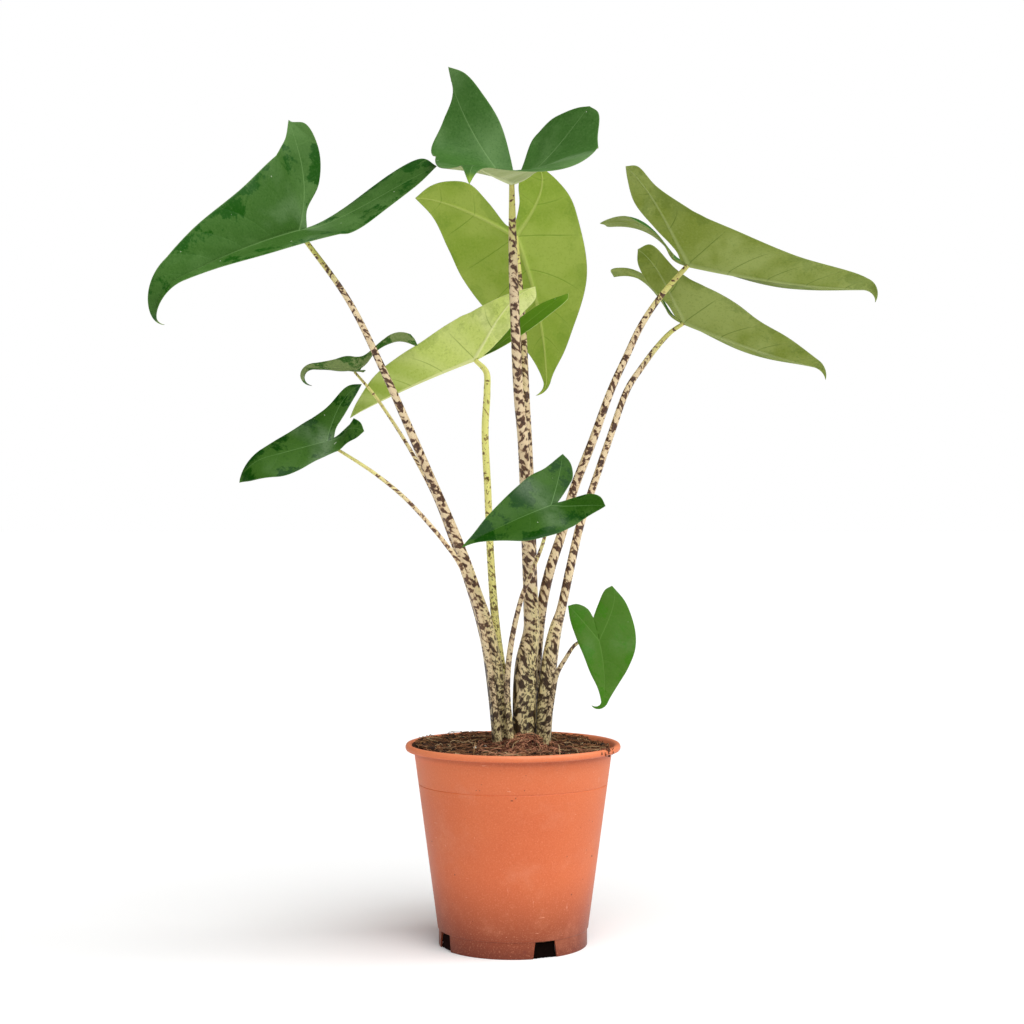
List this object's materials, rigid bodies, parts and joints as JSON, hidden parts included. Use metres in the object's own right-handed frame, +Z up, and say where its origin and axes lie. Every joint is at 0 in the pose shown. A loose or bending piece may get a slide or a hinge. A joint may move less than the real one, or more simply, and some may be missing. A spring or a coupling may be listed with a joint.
{
  "type": "potted alocasia zebrina",
  "caption": "Potted aroid with arrow-shaped waxy leaves on zebra-banded stalks, standing in soil in a terracotta-coloured plastic nursery pot.",
  "frame": {"origin": "on the floor, under the middle of the plant's outline seen from above; the pot's axis stands 16 mm to its left and 22.5 mm behind it", "axes": "+Z up along the plant's height, +X to the right as the picture shows it, -Y towards the viewer"},
  "size_m": [0.5573, 0.3305, 0.6804],
  "materials": {
    "pot": "satin",
    "soil": "rough",
    "root": "matte",
    "zebra_stalk": "satin",
    "young_stalk": "satin",
    "dark_blade": "waxy",
    "pale_blade": "waxy"
  },
  "bodies": {
    "root": {"pot": "pot", "soil": "soil", "rootstock_left": "root", "rootstock_centre": "root", "rootstock_right": "root", "stalk_top_left": "zebra_stalk", "blade_top_left": "dark_blade", "stalk_top_centre": "zebra_stalk", "blade_top_centre": "dark_blade", "stalk_back_centre": "zebra_stalk", "blade_back_centre": "pale_blade", "stalk_young": "young_stalk", "blade_young": "pale_blade", "stalk_upper_right": "zebra_stalk", "blade_upper_right": "dark_blade", "stalk_lower_right": "zebra_stalk", "blade_lower_right": "dark_blade", "stalk_mid_left": "zebra_stalk", "blade_mid_left": "dark_blade", "stalk_small_left": "zebra_stalk", "blade_small_left": "dark_blade", "stalk_front": "zebra_stalk", "blade_front": "dark_blade", "stalk_low_right": "zebra_stalk", "blade_low_right": "dark_blade"}
  },
  "joints": []
}
